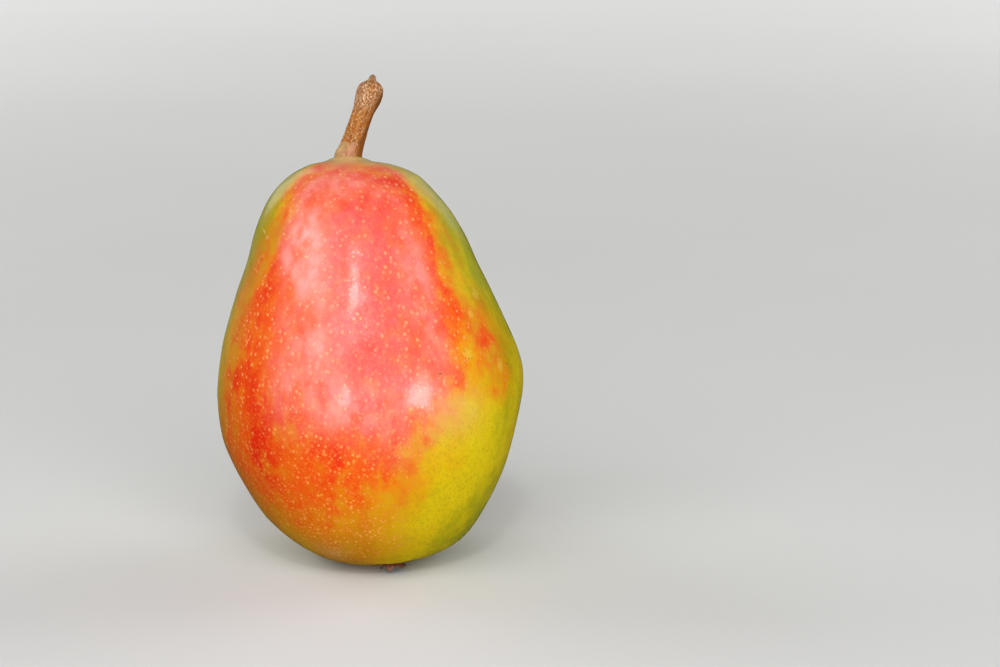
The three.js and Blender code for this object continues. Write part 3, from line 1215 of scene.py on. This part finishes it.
    def colour_fields(self, piece: bpy.types.Object) -> None:
        """Keeps where the skin is red, deep, crimson, green and pale, and where sheen is painted.

        Args:
            piece: The piece.
        """
        mesh, points = piece.data, places(piece.data)
        turn, radius = self.spine.round_axis(points)
        height = points[:, 2]
        keep_share(mesh, Field.BLUSH, self.covered(points), self.most_blush)
        depth = self.depth + patched(turn, height, self.deep_patches) + self.depth_clouds.at(points)
        keep_share(mesh, Field.DEPTH, depth)
        bloom_and_sheen = self.bloom_and_sheen_share + self.bloom_and_sheen_clouds.at(points)
        bloom_and_sheen = patched(turn, height, self.bloom_and_sheen_patches) * bloom_and_sheen
        keep_share(mesh, Field.BLOOM, bloom_and_sheen, self.most_bloom_and_sheen)
        painted_sheen = patched(turn, height, self.painted_sheen_patches)
        keep_share(mesh, Field.HAZE, painted_sheen, self.most_painted_sheen)
        crimson = patched(turn, height, self.crimson_patches) * (1 + self.crimson_clouds.at(points))
        keep_share(mesh, Field.CRIMSON, crimson)
        green = self.green + patched(turn, height, self.green_patches) + self.green_clouds.at(points)
        keep_share(mesh, Field.GREEN, green)
        ochre = patched(turn, height, self.ochre_patches) * (1 + self.ochre_clouds.at(points))
        keep_share(mesh, Field.OCHRE, ochre, self.most_ochre)
        edge = height + self.collar_clouds.at(points)
        collar = smooth(edge, *self.collar_rise) * smooth(radius, *self.collar_reach)
        collar -= self.thin_collar.at(turn, height)
        keep_share(mesh, Field.COLLAR, collar, self.most_collar)
        from_basin = np.hypot(*(points[:, :2] - self.basin).T)
        base = smooth(from_basin, *self.basin_reach) * smooth(height, *self.basin_top)
        flecks = smooth(self.russet_clouds.at(self.spine.straightened(points)), 0.25, 0.6)
        keep_share(mesh, Field.RUSSET, base * (0.3 + 0.6 * flecks), self.most_russet)

    def dot_fields(self, piece: bpy.types.Object) -> None:
        """Keeps where the dots are spread, how wide each unit is and how strong the dots are.

        Args:
            piece: The piece.
        """
        points = places(piece.data)
        level, pitch = self.along(points)
        grown = self.spine.straightened(points)
        keep(piece.data, Field.DOT_PITCH, pitch)
        turn, _ = self.spine.round_axis(points)
        keep(piece.data, Field.DOTTED, 1 + patched(turn, points[:, 2], self.dot_patches))
        keep(piece.data, Field.DOT_PLACE, np.column_stack([grown[:, :2] / pitch[:, None], level]))

    def spots(self, piece: bpy.types.Object) -> list[tuple[Blemish, Point]]:
        """Each blemish with the place on the skin that is nearest to its middle, in metres.

        Args:
            piece: The piece.

        Returns:
            The blemishes and their places.
        """
        points = places(piece.data)
        turn, _ = self.spine.round_axis(points)
        found = []
        for blemish in self.blemishes:
            away = np.hypot((turn - blemish.turn) * 0.45, points[:, 2] - blemish.height)
            found.append((blemish, tuple(points[int(np.argmin(away))] * MM)))
        return found

    def build(self) -> bpy.types.Object:
        """Builds and dresses the skin.

        Returns:
            The skin.
        """
        piece = copy_of_node("fruit", "skin", self.levels)
        self.relief(piece)
        self.colour_fields(piece)
        self.dot_fields(piece)
        finish_piece(piece, "fruit", self.finish.material(self.spots(piece)))
        return piece


@dataclass
class Stem:
    """The woody stem with its knob, bud and bare foot. Millimetres and degrees."""

    finish: BarkFinish = field(default_factory=BarkFinish)
    levels: int = 3
    slices: int = 24
    curve_power: int = 5
    grain_radius: float = 2.4
    ridges: Clouds = Clouds(1.5, 4, 21.0, squeeze=0.16)
    ridge_depth: float = 0.16
    pits: Clouds = Clouds(0.8, 3, 22.0)
    pit_depth: float = 0.1
    foot: Span = (85, 86.5)
    flare: Patch = Patch(-75, 85.6, 60, 1.9, 0.5)
    tip: float = 103.0
    tip_calm: float = 3
    bud_swell: float = 0.14
    bud_share: float = 0.8
    rags: Clouds = Clouds(1.4, 3, 23.0, swing=1.2)
    bare_top: float = 89.3
    bare_edge: float = 0.3
    bare_turn: float = -45
    bare_wide: float = 77
    bare_calm: float = 0.8
    bare_depth: float = 0.1
    most_pale: float = 0.95
    knob_rise: Span = (94.5, 98.5)
    knob_share: float = 0.75
    knob_clouds: Clouds = Clouds(1.2, 3, 24.0, swing=0.6)
    # painted shade: its middle turn, its half width and the heights where it fades out
    shade_turn: float = 78
    shade_wide: float = 58
    shade_top: Span = (101, 98)

    def turns(self, points: np.ndarray) -> np.ndarray:
        """Turn in degrees of each point round the stem's own middle line.

        Args:
            points: Places in millimetres, one row each.

        Returns:
            One turn for each point.
        """
        height = points[:, 2]
        edges = np.linspace(height.min(), height.max(), self.slices + 1)
        bins = np.clip(np.digitize(height, edges) - 1, 0, self.slices - 1)
        middle = np.array([points[bins == index].mean(axis=0) for index in range(self.slices)])
        across, deep = (np.polyfit(middle[:, 2], middle[:, k], self.curve_power) for k in (0, 1))
        side = points[:, 0] - np.polyval(across, height)
        back = points[:, 1] - np.polyval(deep, height)
        return np.degrees(np.arctan2(side, -back))

    def bare(self, height: np.ndarray, turn: np.ndarray, ragged: np.ndarray) -> np.ndarray:
        """How bare of bark the foot is, from 0 to 1, with a ragged edge.

        Args:
            height: Heights in millimetres, one for each point.
            turn: Turns in degrees, one for each point.
            ragged: Ragged noise in millimetres.

        Returns:
            One share for each point.
        """
        low = smooth(height + ragged, self.bare_top + self.bare_edge, self.bare_top - self.bare_edge)
        aside = np.abs(turn - self.bare_turn) + 10 * ragged
        return low * smooth(aside, self.bare_wide, self.bare_wide - 10)

    def inward(
        self, height: np.ndarray, turn: np.ndarray, grain: np.ndarray, bare: np.ndarray
    ) -> np.ndarray:
        """How far each point sinks: ridges and pits, less where bare; flare and bud stand out.

        Args:
            height: Heights in millimetres, one for each point.
            turn: Turns in degrees, one for each point.
            grain: Places on the bark, unrolled to one radius.
            bare: How bare each point is.

        Returns:
            Millimetres, one number for each point.
        """
        ridges, pits = self.ridges.at(grain), self.pits.at(grain)
        inward = self.ridge_depth * smooth(ridges, 0.6, -0.6) + self.pit_depth * smooth(pits, 0.2, 0.7)
        inward = inward * (1 - self.bare_calm * bare) + self.bare_depth * bare
        below_tip = smooth(height, self.tip, self.tip - self.tip_calm)
        inward *= below_tip * smooth(height, *self.foot)
        inward -= self.flare.at(turn, height)
        swollen = smooth(height, self.tip - 1.4, self.tip - 0.9)
        swollen *= smooth(height, self.tip, self.tip - 0.5)
        return inward - self.bud_swell * swollen

    def build(self) -> bpy.types.Object:
        """Builds and dresses the stem.

        Returns:
            The stem.
        """
        piece = copy_of_node("stem", "stem_wood", self.levels)
        mesh, points = piece.data, places(piece.data)
        height, turn = points[:, 2], self.turns(points)
        radius, angle = self.grain_radius, np.radians(turn)
        grain = np.column_stack([radius * np.sin(angle), -radius * np.cos(angle), height])
        keep(mesh, Field.GRAIN, grain)
        ragged = self.rags.at(grain)
        bare = self.bare(height, turn, ragged)
        crumpled(piece, -self.inward(height, turn, grain, bare))
        bud = smooth(height, self.tip - 1.15, self.tip - 0.8)
        keep_share(mesh, Field.PALE, np.maximum(bare, self.bud_share * bud), self.most_pale)
        knob = smooth(height, *self.knob_rise) * (self.knob_share + self.knob_clouds.at(grain))
        keep_share(mesh, Field.KNOB, knob)
        # painted shade down the stem's right side, fading out near the tip
        aside = np.abs(turn - self.shade_turn) + 8 * ragged
        shade_side = smooth(aside, self.shade_wide, self.shade_wide * 0.4)
        keep_share(mesh, Field.DARK, shade_side * smooth(height, *self.shade_top))
        finish_piece(piece, "stem", self.finish.material())
        return piece


@dataclass
class Calyx:
    """The dried calyx in its basin: a withered cup, five curled sepals and stamens.

    Millimetres and radians.
    """

    finish: DriedFinish = field(default_factory=DriedFinish)
    basin: Span = (5, -11.2)
    tilt: float = 0.2
    lift: float = 3.15
    cup_sides: int = 28
    cup_rings: Line = (
        (1.5, 0.0), (2.15, 0.35), (2.35, 0.8), (2.2, 1.15), (1.75, 1.1), (1.35, 0.7), (0.8, 0.5),
    )
    cup_crumple: Clouds = Clouds(0.9, 3, 31.0, swing=0.16)
    cup_tone: float = 0.25
    cup_clouds: Clouds = Clouds(1.2, 2, 32.0, swing=0.4)
    pleat_count: int = 15
    pleat_depth: float = 0.1
    pleat_rise: Span = (0.1, 0.9)
    sepal_lengths: tuple[float, ...] = (1.9, 1.55, 2.0, 1.9, 1.7)
    sepal_foot: Span = (1.85, 0.55)
    sepal_width: float = 2.1
    sepal_taper: float = 0.86
    sepal_thick: float = 0.24
    sepal_turn: float = 0.3
    sepal_lean: float = 0.1
    sepal_crumple: Clouds = Clouds(0.6, 3, 33.0, swing=0.1)
    sepal_tones: tuple[float, ...] = (0.2, 0.0, 0.9, 0.4, 0.15)
    sepal_clouds: Clouds = Clouds(0.8, 2, 34.0, swing=0.3)
    stamen_count: int = 15
    stamen_length: float = 1.35
    stamen_radius: float = 0.13
    stamen_head: float = 0.1
    stamen_foot: float = 0.45
    stamen_spread: float = 1.25

    def axis(self) -> Vector:
        """The direction in which the calyx looks out of its basin."""
        out = math.hypot(*self.basin) / math.sin(self.tilt)
        return Vector((self.basin[0] / out, self.basin[1] / out, -math.cos(self.tilt)))

    def seated(self, piece: bpy.types.Object) -> None:
        """Carries a piece that stands on the origin along +Z to its seat in the basin.

        Args:
            piece: The piece.
        """
        axis = self.axis()
        turn = np.array(Vector((0, 0, 1)).rotation_difference(axis).to_matrix())
        seat = np.array((*self.basin, 0)) - np.array(axis) * self.lift
        place(piece.data, places(piece.data) @ turn.T + seat)

    def cup(self) -> bpy.types.Object:
        """The withered cup: a disc extruded ring by ring, then subdivided and crumpled.

        Returns:
            The cup, standing on the origin.
        """
        deselect()
        radius, height = self.cup_rings[0]
        bpy.ops.mesh.primitive_circle_add(
            vertices=self.cup_sides, radius=radius * MM, fill_type="NGON"
        )
        piece = bpy.context.object
        piece.name = piece.data.name = "calyx_cup"
        bpy.ops.object.mode_set(mode="EDIT")
        bpy.ops.mesh.select_all(action="SELECT")
        bpy.ops.mesh.select_mode(type="FACE")
        for next_radius, next_height in self.cup_rings[1:]:
            bpy.ops.mesh.extrude_region_move(
                TRANSFORM_OT_translate={"value": (0, 0, (next_height - height) * MM)}
            )
            share = next_radius / radius
            bpy.ops.transform.resize(value=(share, share, 1), center_override=(0, 0, 0))
            radius, height = next_radius, next_height
        bpy.ops.mesh.select_all(action="SELECT")
        bpy.ops.mesh.normals_make_consistent(inside=False)
        bpy.ops.object.mode_set(mode="OBJECT")
        subdivided(piece, 2)
        points = places(piece.data)
        turn = np.arctan2(points[:, 1], points[:, 0])
        pleats = self.pleat_depth * np.cos(self.pleat_count * turn)
        pleats *= smooth(points[:, 2], *self.pleat_rise)
        crumpled(piece, self.cup_crumple.at(points) + pleats)
        keep_share(piece.data, Field.PALE, self.cup_tone + self.cup_clouds.at(points))
        return piece

    def sepal(self, index: int) -> bpy.types.Object:
        """One sepal: a grid bent into a curled, pointed blade with a thickness.

        Args:
            index: Which of the sepals; each is a little different.

        Returns:
            The sepal, its foot on the cup's rim.
        """
        deselect()
        bpy.ops.mesh.primitive_grid_add(x_subdivisions=8, y_subdivisions=12, size=1)
        piece = bpy.context.object
        points = np.array([vertex.co[:] for vertex in piece.data.vertices])
        across, share = points[:, 0] * 2, points[:, 1] + 0.5
        length = self.sepal_lengths[index]
        curl = 0.75 + 0.35 * math.cos(index * 1.7 + 0.6)
        width = self.sepal_width / 2 * (1 - self.sepal_taper * share**1.8)
        width *= 1 + 0.3 * np.sin(math.pi * share)
        angle = self.sepal_lean + curl * share
        bend = length / curl
        side = across * width + 0.35 * math.sin(index * 3.1) * share**2
        trough = 0.3 * across**2 * (1 - share) + 0.1 * np.sin(3 * across + index) * share
        out = self.sepal_foot[0] + bend * (1 - np.cos(angle)) - trough
        rise = self.sepal_foot[1] + bend * np.sin(angle)
        turn = 2 * math.pi * index / len(self.sepal_lengths) + self.sepal_turn
        east = out * math.cos(turn) - side * math.sin(turn)
        north = out * math.sin(turn) + side * math.cos(turn)
        place(piece.data, np.column_stack([east, north, rise]))
        wall = piece.modifiers.new("wall", "SOLIDIFY")
        wall.thickness, wall.offset = self.sepal_thick * MM, 0
        bpy.ops.object.modifier_apply(modifier=wall.name)
        subdivided(piece, 1)
        points = places(piece.data)
        own = self.sepal_crumple
        crumpled(piece, replace(own, seed=own.seed + index).at(points))
        paler = smooth(points[:, 2], 1.2, 2.4) * (0.45 + self.sepal_tones[index])
        keep_share(piece.data, Field.PALE, paler + self.sepal_clouds.at(points))
        return piece

    def stamen(self, index: int) -> bpy.types.Object:
        """One withered stamen: a bent thread with a swollen end.

        Args:
            index: Which of the stamens; each leans another way.

        Returns:
            The stamen, standing in the cup.
        """
        deselect()
        bpy.ops.mesh.primitive_cylinder_add(vertices=6, radius=1, depth=1, end_fill_type="TRIFAN")
        piece = bpy.context.object
        bpy.ops.object.mode_set(mode="EDIT")
        bpy.ops.mesh.select_all(action="SELECT")
        bpy.ops.mesh.subdivide(number_cuts=3)
        bpy.ops.object.mode_set(mode="OBJECT")
        points = np.array([vertex.co[:] for vertex in piece.data.vertices])
        share = points[:, 2] + 0.5
        turn = GOLDEN_TURN * index
        ring = self.stamen_spread * math.sqrt((index + 0.5) / self.stamen_count)
        lean = 0.25 + 0.4 * math.sin(index * 1.9)
        length = self.stamen_length * (1 + 0.2 * math.sin(index * 2.7))
        head = self.stamen_head * smooth(share, 0.72, 0.9)
        thick = self.stamen_radius * (1 - 0.35 * share) + head
        thick *= smooth(share, 1.12, 0.95)
        out = ring + lean * share**2 * length
        rise = self.stamen_foot + share * length
        away = np.column_stack([out * math.cos(turn), out * math.sin(turn), rise])
        swirl = 0.2 * np.sin(2.5 * share + index)
        away[:, 0] += points[:, 0] * thick - swirl * math.sin(turn)
        away[:, 1] += points[:, 1] * thick + swirl * math.cos(turn)
        place(piece.data, away)
        keep(piece.data, Field.PALE, smooth(share, 0.7, 1.0) * 0.5)
        bpy.ops.object.shade_smooth()
        return piece

    def build(self) -> None:
        """Builds, seats and dresses the cup, the sepals and the stamens."""
        look = self.finish.material()
        sepals = joined([self.sepal(index) for index in range(len(self.sepal_lengths))], "sepals")
        stamens = joined([self.stamen(index) for index in range(self.stamen_count)], "stamens")
        for piece in (self.cup(), sepals, stamens):
            self.seated(piece)
            finish_piece(piece, "calyx", look)


# ---------------------------------------------------------------- the studio
@dataclass(frozen=True)
class Softbox:
    """An oval light: its place round the aim in degrees and metres, its size and brightness."""

    name: str
    azimuth: float
    elevation: float
    distance: float
    width: float
    height: float
    radiance: float
    mirrored: bool = True

    def build(self, target: Vector) -> None:
        """Adds the light, which faces the target and is hidden from the camera.

        Args:
            target: The place in metres that the light faces.
        """
        around, up = math.radians(self.azimuth), math.radians(self.elevation)
        towards = Vector(
            (math.sin(around) * math.cos(up), -math.cos(around) * math.cos(up), math.sin(up))
        )
        bpy.ops.object.light_add(type="AREA", location=target + towards * self.distance)
        light = bpy.context.object
        light.name = self.name
        light.data.shape = "ELLIPSE"
        light.data.size, light.data.size_y = self.width, self.height
        light.data.energy = self.radiance * math.pi**2 / 4 * self.width * self.height
        light.rotation_euler = towards.to_track_quat("Z", "Y").to_euler()
        light.visible_camera = False
        light.visible_glossy = self.mirrored


@dataclass
class Studio:
    """Floor, lights, world and camera. Metres and degrees."""

    finish: FloorFinish = field(default_factory=FloorFinish)
    floor_radius: float = 6
    floor_sides: int = 96
    world: Colour = (0.86, 0.87, 0.88, 1)
    world_strength: float = 0.12
    light_aim: Point = (0, 0, 0.045)
    target: Point = (0.0274, 0, 0.0493)
    elevation: float = 12
    distance: float = 0.59
    lens: float = 100
    sensor: float = 36
    lights: tuple[Softbox, ...] = (
        Softbox("key", -6, 34, 1.5, 2.05, 1.7, 3.3),
        Softbox("upper", 0, 41, 1.5, 0.17, 0.06, 140),
        Softbox("side_left", -54, 40, 1.5, 0.3, 0.3, 7),
        Softbox("low_right", 33, 3, 0.9, 0.28, 0.23, 19),
        Softbox("low_left", -6, 5, 0.9, 0.05, 0.15, 56),
        Softbox("fill_left", -118, 22, 1.5, 1.15, 1.15, 3.4, False),
        Softbox("fill_right", 118, 22, 1.5, 1.15, 1.15, 3.5, False),
        Softbox("rim_left", -150, 22, 1.5, 0.7, 1.0, 0.75),
        Softbox("rim_right", 156, 26, 1.5, 0.7, 1.0, 0.45),
        Softbox("back", 180, 20, 1.8, 3.0, 1.4, 0.17),
    )

    def build(self) -> None:
        """Builds the studio."""
        deselect()
        bpy.ops.mesh.primitive_circle_add(
            vertices=self.floor_sides, radius=self.floor_radius, fill_type="NGON"
        )
        floor = bpy.context.object
        floor.name = "floor"
        floor.data.materials.append(self.finish.material())
        floor.visible_glossy = False
        world = bpy.data.worlds.new("studio_air")
        world.use_nodes = True
        air = world.node_tree.nodes["Background"]
        air.inputs["Color"].default_value = self.world
        air.inputs["Strength"].default_value = self.world_strength
        world.cycles_visibility.glossy = False
        bpy.context.scene.world = world
        for light in self.lights:
            light.build(Vector(self.light_aim))
        self.camera()
        bpy.context.scene.view_settings.view_transform = "Standard"
        LOG.info("studio: %d lights", len(self.lights))

    def camera(self) -> None:
        """Adds the camera."""
        up = math.radians(self.elevation)
        away = Vector((0, -math.cos(up), math.sin(up)))
        bpy.ops.object.camera_add(location=Vector(self.target) + away * self.distance)
        camera = bpy.context.object
        camera.name = "view"
        camera.rotation_euler = away.to_track_quat("Z", "Y").to_euler()
        camera.data.lens, camera.data.sensor_width = self.lens, self.sensor
        bpy.context.scene.camera = camera


def main() -> None:
    """Builds the pear and its studio."""
    logging.basicConfig(level=logging.INFO, format="%(message)s")
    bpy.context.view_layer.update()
    for part in (Skin(), Stem(), Calyx(), Studio()):
        part.build()


if __name__ == "__main__":
    main()
